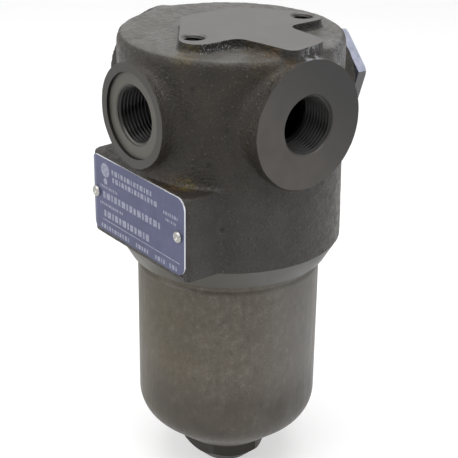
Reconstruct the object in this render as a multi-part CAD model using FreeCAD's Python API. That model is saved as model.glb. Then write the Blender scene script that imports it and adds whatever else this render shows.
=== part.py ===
import FreeCAD, Part
import math
import os

# A high-pressure inline oil filter: cast head, screwed steel bowl, valve and element inside.
# Millimetres. Z runs up the bowl's axis, with the foot's lower face at z = 0.
# +X is the large port, -Y the port above the data plate, +Y the plug's port.

V = FreeCAD.Vector
X = V(1, 0, 0)
Y = V(0, 1, 0)
Z = V(0, 0, 1)

# clearances that make the fits, and the room a cutting shape has past the piece
RUN = 0.05
SPARE = 20.0

# bosses round the ports' level
BIG_BOSS_R = 27.4
SMALL_BOSS_R = 22.2
REAR_BOSS_R = 22.0
INLET_FACE = 52.8
OUTLET_FACE = -52.8
BLIND_FACE = -55.0
REAR_FACE = 54.2

# levels up the axis, each set from the one it belongs with
FOOT_BEVEL = 8.4
FOOT_TOP = 10.8
KNUCKLE_Z = 38.5
BOWL_SHOULDER = 107.0
SHOULDER_GAP = 4.5
HEAD_BASE = BOWL_SHOULDER + SHOULDER_GAP
BASE_CONE_HEIGHT = 9.8
HEAD_EDGE = HEAD_BASE + BASE_CONE_HEIGHT
THREAD_LENGTH = 17.0
THREAD_TOP = HEAD_BASE + THREAD_LENGTH
NOSE_BORE_LENGTH = 12.5
NOSE_BORE_TOP = THREAD_TOP + NOSE_BORE_LENGTH
PORT_RISE = 73.5
PORT_Z = HEAD_BASE + PORT_RISE
LEDGE_DROP = 26.1
LEDGE = PORT_Z - LEDGE_DROP
STEP_DROP = 19.0
STEP_HIGH = PORT_Z - STEP_DROP
STEP_HEIGHT = 10.0
STEP_LOW = STEP_HIGH - STEP_HEIGHT
BOSS_COVER = 1.6
SHELF = PORT_Z + BIG_BOSS_R + BOSS_COVER
PAD_HEIGHT = 4.2
PAD_TOP = SHELF + PAD_HEIGHT
ROOF = 8.5
CEILING = SHELF - ROOF

# bowl
FOOT_AF = 36.0
FOOT_FACE_R = 12.0
FOOT_CORNER_TURN = 5.5
CORNER_LAND = 0.3
CONE_ANGLE = math.radians(40)
KNUCKLE_R = 16.0
KNUCKLE_CENTRE_R = 26.1
INNER_KNUCKLE_R = 5.0
BOWL_FLOOR = 8.4
NOSE_WALL = 5.85
NECK_CHAMFER = 1.5
RUNOUT = 2.0
END_GAP = 1.0
BOWL_THREAD_END = THREAD_TOP - END_GAP
BOWL_NOSE_END = NOSE_BORE_TOP - END_GAP
SEAL_GROOVE_RISE = 2.5
SEAL_GROOVE_LOW = THREAD_TOP + SEAL_GROOVE_RISE
SEAL_GROOVE_WIDTH = 5.5
SEAL_GROOVE_DEPTH = 2.8
BACKUP_WIDTH = 1.4
BOWL_SEAL_WIDTH = 3.7

# head
EDGE_R = 51.1
LOWER_TOP_R = 50.4
UPPER_R = 49.5
BORE_THREAD_R = 39.5
BASE_LAND = 6.0
BASE_R = BORE_THREAD_R + BASE_LAND
NOSE_STEP = 2.5
BORE_NOSE_R = BORE_THREAD_R - NOSE_STEP
NECK_RIM = 1.5
NECK_R = BORE_THREAD_R + NECK_RIM
RUNOUT_DEPTH = 1.3
RUNOUT_R = BORE_THREAD_R - RUNOUT_DEPTH
CHAMBER_R = 36.0
CHAMBER_CROWN_R = 12.0
BOSS_FILLET = 7.0
SEAM_TURN = 40.0
RIM_FILLET = 3.5
BLOCK_HALF = 37.6
BLOCK_FACE = -51.0
LEFT_CORNER = 7.5
RIGHT_CORNER = 2.5

# ports, G 3/4
PORT_R = 12.06
PORT_CHAMFER_R = 13.4
PORT_DEPTH = 16.0
SPOTFACE_R = 18.8
SPOTFACE_DEPTH = 1.3
INLET_DRILL_R = 11.0

# top pad and its two M10 holes
PAD_BACK = -16.0
PAD_BACK_HALF = 15.5
PAD_BACK_CORNER = 4.0
NEAR_SIDE = 24.2
FAR_SIDE = 22.2
EAR_SLOPE = 0.762
EAR_R = 8.0
TONGUE_END = 52.8
TONGUE_SKEW = 4.5
TONGUE_NEAR = -15.0
TONGUE_TAPER = 5.5
TONGUE_FAR = 12.7
TONGUE_NEAR_CORNER = 4.0
TONGUE_FAR_CORNER = 7.5
NEAR_SWEEP = 6.0
FAR_SWEEP = 5.0
PAD_FOOT_R = 1.5
HOLE_X = 12.6
HOLE_SPACING = 59.0
HOLE_R = 4.25
HOLE_CHAMFER_R = 5.6
HOLE_DEPTH = 12.0

# clean-oil riser and the ducts that carry it
SPIGOT_DROP = 35.0
SPIGOT_END = PORT_Z - SPIGOT_DROP
SPIGOT_R = 15.0
SPIGOT_LENGTH = 11.5
SPIGOT_TOP = SPIGOT_END + SPIGOT_LENGTH
RISER_R = 17.0
RISER_DROP = 4.5
RISER_TOP = CEILING - RISER_DROP
RISER_BORE_R = 12.0
SEAT_BORE_R = 11.5
LIP = 1.5
SEAT_HEIGHT = 4.5
SEAT_HIGH = RISER_TOP - LIP
SEAT_LOW = SEAT_HIGH - SEAT_HEIGHT
LIP_R = 8.5
DUCT_R = 15.0
DUCT_BORE_R = 9.0
SENSE_DUCT_R = 6.5
SENSE_BORE_R = 3.0

# bypass valve
SEAT_HOLE_R = 6.0
POPPET_R = 8.5
POPPET_THICK = 3.0
PILOT_R = 5.5
STEM_R = 2.5
STEM_TAIL = 4.0
SPRING_R = 6.2
WIRE_R = 0.8
SPRING_PITCH = 4.2
RETAINER_RISE = 6.5
RETAINER_TOP = SPIGOT_TOP + RETAINER_RISE
RETAINER_THICK = 4.0
RETAINER_RIM_R = 10.4
HUB_R = 7.4
SPOKE_WIDTH = 3.0
SPOKES = 3
CLIP_THICK = 1.2
CLIP_INNER_R = 10.6
CLIP_OUTER_R = 12.7
CLIP_GAP = 7.0

# rear port and plug
PLUG_BORE_R = 10.5
PLUG_STEP = 41.5
NOSE_BORE_R = 5.5
NOSE_BORE_END = 35.5
SENSE_HOLE_R = 1.5
SENSE_HOLE_DROP = 8.2
FACE_SEAL_THICK = 2.2
FACE_SEAL_R = 15.5
FACE_SEAL_HOLE_R = 10.8
COLLAR_R = 17.5
COLLAR_END = 57.2
PLUG_AF = 38.0
PLUG_END = 62.0
PLUG_TURN = 12.2
PLUG_SHANK_END = 42.3
PLUG_NOSE_R = 5.42
PLUG_NOSE_END = 36.8
NOSE_GROOVE_R = 3.8
NOSE_GROOVE_LOW = 37.9
NOSE_GROOVE_WIDTH = 2.3

# data plate and its pins
PLATE_X = 0.8
PLATE_HALF = 35.4
PLATE_BEND = 4.5
PLATE_SKIRT = 2.0
PLATE_LOW = HEAD_EDGE + PLATE_SKIRT
PLATE_HIGH = LEDGE - 0.4
PLATE_THICK = 0.7
PLATE_CORNER = 5.0
PIN_SPACING = 62.2
PIN_R = 1.2
PIN_HEAD_R = 2.5
PIN_HEAD = 1.2
PIN_DIMPLE_R = 1.5
PIN_DIMPLE = 0.8
PIN_LENGTH = 6.0

# filter element
ELEMENT_R = 26.0
ELEMENT_RISE = 1.5
ELEMENT_LOW = KNUCKLE_Z + ELEMENT_RISE
CAP_FLOOR = 4.0
PACK_LOW = ELEMENT_LOW + CAP_FLOOR
CAP_FLANGE = 3.0
CAP_GAP = 0.5
PACK_HIGH = SPIGOT_END - CAP_GAP - CAP_FLANGE
CAP_SKIRT = 4.0
CAP_WALL = 1.2
HUB_BORE_R = 15.1
CAP_HUB_R = 19.5
CAP_HUB_TOP = SPIGOT_TOP - CAP_GAP
CAP_RING_RISE = 4.0
CAP_RING_LOW = SPIGOT_END + CAP_RING_RISE
CAP_RING_WIDTH = 3.2
CAP_RING_DEPTH = 2.1
CORE_R = 15.4
CORE_BORE_R = 14.6
CORE_HOLE_R = 2.0
CORE_COLUMNS = 8
CORE_ROWS = 8
PLEATS = 32
PLEAT_IN_R = 16.2
PLEAT_OUT_R = 24.4
SHEET = 0.7


def turned(points, centre=V(0, 0, 0), along=Z):
    """Lathe a closed outline of (radius, level) points; four numbers make an arc: middle, end."""
    edges = []
    here = V(points[0][0], 0, points[0][1])
    for point in list(points[1:]) + [points[0][:2]]:
        there = V(point[-2], 0, point[-1])
        if len(point) == 4:
            edges.append(Part.Arc(here, V(point[0], 0, point[1]), there).toShape())
        elif here.distanceToPoint(there) > 1e-6:
            edges.append(Part.makeLine(here, there))
        here = there
    solid = Part.Face(Part.Wire(edges)).revolve(V(0, 0, 0), Z, 360)
    solid.Placement = FreeCAD.Placement(centre, FreeCAD.Rotation(Z, along))
    return solid


def rod(radius, start, end, centre=V(0, 0, 0), along=Z):
    """A plain cylinder between two levels on an axis."""
    return Part.makeCylinder(radius, abs(end - start), centre + along * min(start, end), along)


def cone(start_r, start, end_r, end, centre=V(0, 0, 0), along=Z):
    return Part.makeCone(start_r, end_r, end - start, centre + along * start, along)


def hexagon(across_flats, start, end, turn):
    """A hexagonal prism; turn is the angle of one corner."""
    corners = [
        V(math.cos(a), math.sin(a), 0) * (across_flats / math.sqrt(3))
        for a in (math.radians(turn + 60 * k) for k in range(7))
    ]
    prism = Part.Face(Part.makePolygon(corners)).extrude(Z * (end - start))
    prism.translate(Z * start)
    return prism


def rounded_outline(corners, level):
    """A closed face at one level, from (x, y, radius) corners joined by straight sides."""
    edges = []
    ends = []
    for k, (x, y, radius) in enumerate(corners):
        corner = V(x, y, level)
        before = V(*corners[k - 1][:2], level)
        after = V(*corners[(k + 1) % len(corners)][:2], level)
        back = (before - corner).normalize()
        ahead = (after - corner).normalize()
        half = back.getAngle(ahead) / 2
        first = corner + back * (radius / math.tan(half))
        last = corner + ahead * (radius / math.tan(half))
        centre = corner + (back + ahead).normalize() * (radius / math.sin(half))
        middle = centre + (corner - centre).normalize() * radius
        ends.append((first, last))
        edges.append(Part.Arc(first, middle, last).toShape())
    for k, (first, last) in enumerate(ends):
        edges.insert(2 * k, Part.makeLine(ends[k - 1][1], first))
    return Part.Face(Part.Wire(edges))


def save(shape, node):
    shape.exportStep("parts/" + node + ".step")


os.makedirs("parts", exist_ok=True)

# Bowl: turned steel cup with a hexagon foot and a male thread below its nose.
cone_out = KNUCKLE_CENTRE_R + KNUCKLE_R * math.sin(CONE_ANGLE)
cone_z = KNUCKLE_Z - KNUCKLE_R * math.cos(CONE_ANGLE)
knuckle_mid = (
    KNUCKLE_CENTRE_R + KNUCKLE_R * math.cos((math.pi / 2 - CONE_ANGLE) / 2),
    KNUCKLE_Z - KNUCKLE_R * math.sin((math.pi / 2 - CONE_ANGLE) / 2),
)
foot_r = cone_out - (cone_z - FOOT_TOP) / math.tan(CONE_ANGLE)
bowl_r = KNUCKLE_CENTRE_R + KNUCKLE_R
nose_r = BORE_NOSE_R - RUN
bowl_bore_r = nose_r - NOSE_WALL
inner_centre_r = bowl_bore_r - INNER_KNUCKLE_R
inner_cone_out = inner_centre_r + INNER_KNUCKLE_R * math.sin(CONE_ANGLE)
inner_cone_z = KNUCKLE_Z - INNER_KNUCKLE_R * math.cos(CONE_ANGLE)
inner_mid = (
    inner_centre_r + INNER_KNUCKLE_R * math.cos((math.pi / 2 - CONE_ANGLE) / 2),
    KNUCKLE_Z - INNER_KNUCKLE_R * math.sin((math.pi / 2 - CONE_ANGLE) / 2),
)
floor_z = FOOT_TOP + BOWL_FLOOR
floor_r = inner_cone_out - (inner_cone_z - floor_z) / math.tan(CONE_ANGLE)
bowl_body = turned([
    (0, FOOT_TOP - 1),
    (foot_r, FOOT_TOP - 1),
    (foot_r, FOOT_TOP),
    (cone_out, cone_z),
    (*knuckle_mid, bowl_r, KNUCKLE_Z),
    (bowl_r, BOWL_SHOULDER - NECK_CHAMFER),
    (NECK_R, BOWL_SHOULDER),
    (NECK_R, HEAD_BASE),
    (RUNOUT_R, HEAD_BASE),
    (RUNOUT_R, HEAD_BASE + RUNOUT),
    (BORE_THREAD_R - RUN, HEAD_BASE + RUNOUT + 1),
    (BORE_THREAD_R - RUN, BOWL_THREAD_END - 1),
    (BORE_THREAD_R - RUN - 1, BOWL_THREAD_END),
    (nose_r, BOWL_THREAD_END),
    (nose_r, BOWL_NOSE_END - 1),
    (nose_r - 1, BOWL_NOSE_END),
    (0, BOWL_NOSE_END),
])
foot_corner_r = FOOT_AF / math.sqrt(3)
foot_corner_z = FOOT_TOP + (foot_corner_r - foot_r) * math.tan(CONE_ANGLE) - CORNER_LAND
foot_bevel = turned([
    (0, 0),
    (FOOT_FACE_R, 0),
    (foot_corner_r, FOOT_BEVEL),
    (foot_corner_r, foot_corner_z),
    (0, foot_corner_z),
])
foot = hexagon(FOOT_AF, 0, foot_corner_z, FOOT_CORNER_TURN).common(foot_bevel)
bowl_inside = turned([
    (0, floor_z),
    (floor_r, floor_z),
    (inner_cone_out, inner_cone_z),
    (*inner_mid, bowl_bore_r, KNUCKLE_Z),
    (bowl_bore_r, BOWL_NOSE_END - 3),
    (bowl_bore_r + 3, BOWL_NOSE_END),
    (0, BOWL_NOSE_END),
])
groove_r = nose_r - SEAL_GROOVE_DEPTH
seal_groove = rod(nose_r + 1, SEAL_GROOVE_LOW, SEAL_GROOVE_LOW + SEAL_GROOVE_WIDTH).cut(
    rod(groove_r, SEAL_GROOVE_LOW, SEAL_GROOVE_LOW + SEAL_GROOVE_WIDTH)
)
bowl = bowl_body.fuse(foot).cut(bowl_inside).cut(seal_groove).removeSplitter()
save(bowl, "bowl")

# Seals in the nose's groove: a hard backup ring on the dry side and a rubber ring above it.
backup_low = SEAL_GROOVE_LOW + RUN
backup = rod(nose_r, backup_low, backup_low + BACKUP_WIDTH).cut(
    rod(groove_r + RUN, backup_low, backup_low + BACKUP_WIDTH)
)
save(backup, "bowl_backup_ring")
ring_low = backup_low + BACKUP_WIDTH
bowl_ring = rod(nose_r, ring_low, ring_low + BOWL_SEAL_WIDTH).cut(
    rod(groove_r + RUN, ring_low, ring_low + BOWL_SEAL_WIDTH)
)
bowl_ring = bowl_ring.makeFillet(1.2, [e for e in bowl_ring.Edges if e.Closed])
save(bowl_ring, "bowl_o_ring")

# Head: one casting. Round upper body with four bosses, then the wider lower body.
upper = rod(UPPER_R, STEP_LOW - SPARE, SHELF + SPARE).rotated(V(0, 0, 0), Z, SEAM_TURN)
bosses = [
    (BIG_BOSS_R, INLET_FACE, X),
    (BIG_BOSS_R, -BLIND_FACE, -X),
    (SMALL_BOSS_R, -OUTLET_FACE, -Y),
    (REAR_BOSS_R, REAR_FACE, Y),
]
port_centre = V(0, 0, PORT_Z)
casting = upper.fuse([rod(r, 0, reach + SPARE, port_centre, way) for r, reach, way in bosses])
joins = []
for edge in casting.Edges:
    middle = edge.valueAt(edge.FirstParameter + 0.37 * (edge.LastParameter - edge.FirstParameter))
    if abs(math.hypot(middle.x, middle.y) - UPPER_R) < 0.05 and abs(middle.z - PORT_Z) < BIG_BOSS_R + 1:
        joins.append(edge)
casting = casting.makeFillet(BOSS_FILLET, joins)
for r, reach, way in bosses:
    casting = casting.cut(rod(2 * EDGE_R, reach, reach + 2 * SPARE, port_centre, way))
lower = turned([
    (0, HEAD_BASE),
    (BASE_R, HEAD_BASE),
    (EDGE_R, HEAD_EDGE),
    (LOWER_TOP_R, STEP_LOW),
    (UPPER_R, STEP_HIGH),
    (0, STEP_HIGH),
])
block = Part.makeBox(
    2 * BLOCK_HALF, -BLOCK_FACE, LEDGE - HEAD_EDGE, V(-BLOCK_HALF, BLOCK_FACE, HEAD_EDGE)
)
for side, radius in ((-1, LEFT_CORNER), (1, RIGHT_CORNER)):
    block = block.makeFillet(radius, [
        e for e in block.Edges
        if abs(e.valueAt(0).y - BLOCK_FACE) < 0.01 and abs(e.valueAt(0).x - side * BLOCK_HALF) < 0.01
        and abs(e.tangentAt(0).z) > 0.9
    ])
casting = casting.fuse([lower, block])
casting = casting.cut(Part.makeBox(4 * EDGE_R, 4 * EDGE_R, 2 * SPARE, V(-2 * EDGE_R, -2 * EDGE_R, SHELF)))
rim = [
    e for e in casting.Edges
    if all(abs(e.valueAt(t).z - SHELF) < 1e-4 for t in (e.FirstParameter, e.LastParameter))
    and abs(e.valueAt((e.FirstParameter + e.LastParameter) / 2).z - SHELF) < 1e-4
]
casting = casting.makeFillet(RIM_FILLET, rim)

# Raised pad on top: a bar with two rounded ears and a tongue towards the large port.
near_point = -PAD_BACK_HALF - EAR_SLOPE * (NEAR_SIDE - PAD_BACK)
far_point = PAD_BACK_HALF + EAR_SLOPE * (FAR_SIDE - PAD_BACK)
pad = rounded_outline([
    (NEAR_SIDE, near_point, EAR_R),
    (NEAR_SIDE, TONGUE_NEAR, NEAR_SWEEP),
    (TONGUE_END, TONGUE_NEAR + TONGUE_TAPER, TONGUE_NEAR_CORNER),
    (TONGUE_END - TONGUE_SKEW, TONGUE_FAR, TONGUE_FAR_CORNER),
    (FAR_SIDE, TONGUE_FAR, FAR_SWEEP),
    (FAR_SIDE, far_point, EAR_R),
    (PAD_BACK, PAD_BACK_HALF, PAD_BACK_CORNER),
    (PAD_BACK, -PAD_BACK_HALF, PAD_BACK_CORNER),
], CEILING + 4).extrude(Z * (PAD_TOP - CEILING - 4))
casting = casting.fuse(pad)
pad_foot = []
for edge in casting.Edges:
    span = edge.LastParameter - edge.FirstParameter
    along = [edge.valueAt(edge.FirstParameter + span * k / 4) for k in range(5)]
    if all(abs(p.z - SHELF) < 1e-3 and math.hypot(p.x, p.y) < UPPER_R - RIM_FILLET for p in along):
        pad_foot.append(edge)
casting = casting.makeFillet(PAD_FOOT_R, pad_foot)

# Cored chamber and the machined bores that the bowl screws into.
crown = CHAMBER_CROWN_R * math.sqrt(0.5)
chamber = turned([
    (0, HEAD_BASE),
    (BORE_THREAD_R + 0.6, HEAD_BASE),
    (BORE_THREAD_R, HEAD_BASE + 0.6),
    (BORE_THREAD_R, THREAD_TOP),
    (BORE_NOSE_R + 0.8, THREAD_TOP),
    (BORE_NOSE_R, THREAD_TOP + 0.8),
    (BORE_NOSE_R, NOSE_BORE_TOP),
    (CHAMBER_R, NOSE_BORE_TOP),
    (CHAMBER_R, CEILING - CHAMBER_CROWN_R),
    (CHAMBER_R - CHAMBER_CROWN_R + crown, CEILING - CHAMBER_CROWN_R + crown,
     CHAMBER_R - CHAMBER_CROWN_R, CEILING),
    (0, CEILING),
])
riser = turned([
    (0, SPIGOT_END),
    (SPIGOT_R - 1, SPIGOT_END),
    (SPIGOT_R, SPIGOT_END + 1),
    (SPIGOT_R, SPIGOT_TOP),
    (RISER_R, SPIGOT_TOP),
    (RISER_R, RISER_TOP),
    (0, RISER_TOP),
])
ducts = riser.fuse([
    rod(DUCT_R, 0, CHAMBER_R + 3, port_centre, -Y),
    rod(SENSE_DUCT_R, 0, CHAMBER_R + 3, port_centre, Y),
])
head = casting.cut(chamber.cut(ducts))

# Bores in the riser, from the spigot up to the lip that stops the valve seat.
clip_low = RETAINER_TOP - RETAINER_THICK - CLIP_THICK - RUN
riser_bore = turned([
    (0, SPIGOT_END),
    (RISER_BORE_R, SPIGOT_END),
    (RISER_BORE_R, clip_low - RUN),
    (CLIP_OUTER_R + RUN, clip_low - RUN),
    (CLIP_OUTER_R + RUN, clip_low + CLIP_THICK + RUN),
    (RISER_BORE_R, clip_low + CLIP_THICK + RUN),
    (RISER_BORE_R, SEAT_LOW - 0.5),
    (SEAT_BORE_R, SEAT_LOW),
    (SEAT_BORE_R, SEAT_HIGH),
    (LIP_R, SEAT_HIGH),
    (LIP_R, RISER_TOP),
    (0, RISER_TOP),
])
outlet_seat = -OUTLET_FACE - SPOTFACE_DEPTH
port_chamfer = PORT_CHAMFER_R - PORT_R
inlet_end = INLET_FACE - PORT_DEPTH
outlet_end = outlet_seat - PORT_DEPTH
hole_floor = PAD_TOP - HOLE_DEPTH
cuts = [
    riser_bore,
    rod(PORT_R, inlet_end, INLET_FACE, port_centre, X),
    cone(PORT_R, INLET_FACE - port_chamfer, PORT_CHAMFER_R, INLET_FACE, port_centre, X),
    rod(INLET_DRILL_R, CHAMBER_R - 4, inlet_end, port_centre, X),
    rod(SPOTFACE_R, outlet_seat, -OUTLET_FACE, port_centre, -Y),
    rod(PORT_R, outlet_end, outlet_seat, port_centre, -Y),
    cone(PORT_R, outlet_seat - port_chamfer, PORT_CHAMFER_R, outlet_seat, port_centre, -Y),
    rod(DUCT_BORE_R, 0, outlet_end, port_centre, -Y),
    rod(PLUG_BORE_R, PLUG_STEP, REAR_FACE, port_centre, Y),
    rod(NOSE_BORE_R, NOSE_BORE_END, PLUG_STEP, port_centre, Y),
    rod(SENSE_BORE_R, 0, NOSE_BORE_END, port_centre, Y),
    rod(SENSE_HOLE_R, CHAMBER_R - 2, PLUG_STEP, port_centre - Z * SENSE_HOLE_DROP, Y),
    Part.makeBox(2 * BLOCK_HALF, SPARE, LEDGE - HEAD_EDGE, V(-BLOCK_HALF, BLOCK_FACE - SPARE, HEAD_EDGE)),
]
pin_z = (PLATE_LOW + PLATE_HIGH) / 2
for side in (-1, 1):
    foot_of_hole = V(HOLE_X, side * HOLE_SPACING / 2, 0)
    chamfer = HOLE_CHAMFER_R - HOLE_R
    cuts.append(rod(HOLE_R, hole_floor, PAD_TOP, foot_of_hole))
    cuts.append(cone(HOLE_R, PAD_TOP - chamfer, HOLE_CHAMFER_R, PAD_TOP, foot_of_hole))
    pin_centre = V(PLATE_X + side * PIN_SPACING / 2, 0, pin_z)
    cuts.append(rod(PIN_R, -BLOCK_FACE - PIN_LENGTH, -BLOCK_FACE, pin_centre, -Y))
for tool in cuts:
    head = head.cut(tool)
save(head, "filter_head")

# Data plate: thin sheet with round corners and two pin holes, its left end bent round the block's corner.
bend_x = LEFT_CORNER - BLOCK_HALF
bend_y = BLOCK_FACE + LEFT_CORNER
plate_right = PLATE_X + PLATE_HALF
bend = PLATE_BEND / LEFT_CORNER


def on_corner(radius, angle):
    """A point round the block's left corner, at an angle from straight ahead."""
    return V(bend_x - radius * math.sin(angle), bend_y - radius * math.cos(angle), PLATE_LOW)


outer = LEFT_CORNER + PLATE_THICK
back_right = V(plate_right, BLOCK_FACE, PLATE_LOW)
front_right = V(plate_right, BLOCK_FACE - PLATE_THICK, PLATE_LOW)
back_bend = [on_corner(LEFT_CORNER, a) for a in (0, bend / 2, bend)]
front_bend = [on_corner(outer, a) for a in (bend, bend / 2, 0)]
sheet = Part.Face(Part.Wire([
    Part.makeLine(back_right, back_bend[0]),
    Part.Arc(*back_bend).toShape(),
    Part.makeLine(back_bend[2], front_bend[0]),
    Part.Arc(*front_bend).toShape(),
    Part.makeLine(front_bend[2], front_right),
    Part.makeLine(front_right, back_right),
])).extrude(Z * (PLATE_HIGH - PLATE_LOW))
plate_left = on_corner(outer, bend).x
blank = Part.makeBox(
    plate_right - plate_left, SPARE, PLATE_HIGH - PLATE_LOW, V(plate_left, BLOCK_FACE - SPARE / 2, PLATE_LOW)
)
blank = blank.makeFillet(PLATE_CORNER, [e for e in blank.Edges if abs(e.tangentAt(0).y) > 0.9])
plate = sheet.common(blank)
under_head = -BLOCK_FACE + PLATE_THICK
pin_top = under_head + PIN_HEAD
dimple_r = (PIN_DIMPLE_R ** 2 + PIN_DIMPLE ** 2) / (2 * PIN_DIMPLE)
dimple_centre = pin_top - PIN_DIMPLE + dimple_r
dimple_mid_r = PIN_DIMPLE_R / 2
for side, name in ((-1, "left"), (1, "right")):
    pin_centre = V(PLATE_X + side * PIN_SPACING / 2, 0, pin_z)
    plate = plate.cut(rod(PIN_R + RUN, 0, under_head + SPARE, pin_centre, -Y))
    pin = turned([
        (0, -BLOCK_FACE - PIN_LENGTH),
        (PIN_R, -BLOCK_FACE - PIN_LENGTH),
        (PIN_R, under_head),
        (PIN_HEAD_R, under_head),
        (PIN_HEAD_R - 0.1, under_head + PIN_HEAD * 0.7, PIN_DIMPLE_R + 0.3, pin_top),
        (PIN_DIMPLE_R, pin_top),
        (dimple_mid_r, dimple_centre - math.sqrt(dimple_r ** 2 - dimple_mid_r ** 2),
         0, pin_top - PIN_DIMPLE),
    ], pin_centre, -Y)
    save(pin, "plate_pin_" + name)
save(plate, "data_plate")

# Plug for the rear port: hexagon, collar, threaded shank and a nose with its own seal.
plug_body = turned([
    (0, PLUG_NOSE_END),
    (PLUG_NOSE_R - 0.5, PLUG_NOSE_END),
    (PLUG_NOSE_R, PLUG_NOSE_END + 0.5),
    (PLUG_NOSE_R, NOSE_GROOVE_LOW),
    (NOSE_GROOVE_R, NOSE_GROOVE_LOW),
    (NOSE_GROOVE_R, NOSE_GROOVE_LOW + NOSE_GROOVE_WIDTH),
    (PLUG_NOSE_R, NOSE_GROOVE_LOW + NOSE_GROOVE_WIDTH),
    (PLUG_NOSE_R, PLUG_SHANK_END),
    (PLUG_BORE_R - RUN - 0.8, PLUG_SHANK_END),
    (PLUG_BORE_R - RUN, PLUG_SHANK_END + 0.8),
    (PLUG_BORE_R - RUN, REAR_FACE + FACE_SEAL_THICK),
    (COLLAR_R, REAR_FACE + FACE_SEAL_THICK),
    (COLLAR_R, COLLAR_END),
    (0, COLLAR_END),
], port_centre, Y)
hex_corner_r = PLUG_AF / math.sqrt(3)
plug_bevel = (hex_corner_r - PLUG_AF / 2 + 0.6) * math.tan(math.radians(30))
hex_limit = turned([
    (0, COLLAR_END),
    (hex_corner_r, COLLAR_END),
    (hex_corner_r, PLUG_END - plug_bevel),
    (PLUG_AF / 2 - 0.6, PLUG_END),
    (0, PLUG_END),
])
plug_hex = hexagon(PLUG_AF, COLLAR_END, PLUG_END, 0).common(hex_limit)
turn_up = FreeCAD.Rotation(Y, -PLUG_TURN).multiply(FreeCAD.Rotation(X, -90))
plug_hex.Placement = FreeCAD.Placement(port_centre, turn_up)
save(plug_body.fuse(plug_hex).removeSplitter(), "indicator_port_plug")
face_seal_end = REAR_FACE + FACE_SEAL_THICK
face_seal = rod(FACE_SEAL_R, REAR_FACE, face_seal_end, port_centre, Y).cut(
    rod(FACE_SEAL_HOLE_R, REAR_FACE, face_seal_end, port_centre, Y)
)
save(face_seal, "plug_face_seal")
nose_ring_low = NOSE_GROOVE_LOW + RUN
nose_ring_high = NOSE_GROOVE_LOW + NOSE_GROOVE_WIDTH - RUN
nose_ring = rod(PLUG_NOSE_R, nose_ring_low, nose_ring_high, port_centre, Y).cut(
    rod(NOSE_GROOVE_R + RUN, nose_ring_low, nose_ring_high, port_centre, Y)
)
nose_ring = nose_ring.makeFillet(0.7, [e for e in nose_ring.Edges if e.Closed])
save(nose_ring, "plug_nose_o_ring")

# Bypass valve in the riser: seat, disc with stem, spring, spoked retainer and snap ring.
seat = turned([
    (SEAT_HOLE_R, SEAT_LOW),
    (SEAT_BORE_R, SEAT_LOW),
    (SEAT_BORE_R, SEAT_HIGH),
    (SEAT_HOLE_R + 1, SEAT_HIGH),
    (SEAT_HOLE_R, SEAT_HIGH - 1),
])
save(seat, "bypass_seat")
disc_low = SEAT_LOW - POPPET_THICK
stem_end = RETAINER_TOP - RETAINER_THICK - STEM_TAIL
poppet = turned([
    (0, stem_end),
    (STEM_R - 0.5, stem_end),
    (STEM_R, stem_end + 0.5),
    (STEM_R, disc_low),
    (POPPET_R, disc_low),
    (POPPET_R, SEAT_LOW),
    (PILOT_R, SEAT_LOW),
    (PILOT_R - 1, SEAT_LOW + 2),
    (0, SEAT_LOW + 2),
])
save(poppet, "bypass_poppet")
spring_start = RETAINER_TOP + WIRE_R
helix = Part.makeHelix(SPRING_PITCH, disc_low - WIRE_R - spring_start, SPRING_R)
helix.translate(Z * spring_start)
wire_start = Part.Wire(Part.makeCircle(WIRE_R, V(SPRING_R, 0, spring_start), Y))
spring = Part.Wire(helix).makePipeShell([wire_start], True, True)
save(spring, "bypass_spring")
retainer_low = RETAINER_TOP - RETAINER_THICK
retainer = rod(RISER_BORE_R - RUN, retainer_low, RETAINER_TOP).cut(
    rod(RETAINER_RIM_R, retainer_low, RETAINER_TOP)
)
retainer = retainer.fuse(rod(HUB_R, retainer_low, RETAINER_TOP))
for k in range(SPOKES):
    spoke = Part.makeBox(
        RETAINER_RIM_R + 0.5, SPOKE_WIDTH, RETAINER_THICK, V(0, -SPOKE_WIDTH / 2, retainer_low)
    )
    retainer = retainer.fuse(spoke.rotated(V(0, 0, 0), Z, 30 + 360 / SPOKES * k))
retainer = retainer.cut(rod(STEM_R + RUN, retainer_low, RETAINER_TOP)).removeSplitter()
save(retainer, "bypass_spring_retainer")
clip = rod(CLIP_OUTER_R, clip_low, clip_low + CLIP_THICK).cut(
    rod(CLIP_INNER_R, clip_low, clip_low + CLIP_THICK)
)
clip = clip.cut(Part.makeBox(SPARE, CLIP_GAP, CLIP_THICK, V(0, -CLIP_GAP / 2, clip_low)))
save(clip, "bypass_retaining_ring")

# Filter element: two end caps, a perforated core tube and one pleated sheet between them.
top_cap = turned([
    (CORE_BORE_R - 1.6, PACK_HIGH),
    (ELEMENT_R - CAP_WALL, PACK_HIGH),
    (ELEMENT_R - CAP_WALL, PACK_HIGH - CAP_SKIRT),
    (ELEMENT_R, PACK_HIGH - CAP_SKIRT),
    (ELEMENT_R, PACK_HIGH + CAP_FLANGE),
    (CAP_HUB_R, PACK_HIGH + CAP_FLANGE),
    (CAP_HUB_R, CAP_HUB_TOP),
    (HUB_BORE_R + 0.8, CAP_HUB_TOP),
    (HUB_BORE_R, CAP_HUB_TOP - 0.8),
    (HUB_BORE_R, CAP_RING_LOW + CAP_RING_WIDTH),
    (HUB_BORE_R + CAP_RING_DEPTH, CAP_RING_LOW + CAP_RING_WIDTH),
    (HUB_BORE_R + CAP_RING_DEPTH, CAP_RING_LOW),
    (HUB_BORE_R, CAP_RING_LOW),
    (HUB_BORE_R, PACK_HIGH + CAP_FLANGE),
    (CORE_BORE_R - 1.6, PACK_HIGH + CAP_FLANGE),
])
save(top_cap, "element_top_cap")
hub_ring_low = CAP_RING_LOW + RUN
hub_ring_high = CAP_RING_LOW + CAP_RING_WIDTH - RUN
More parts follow.
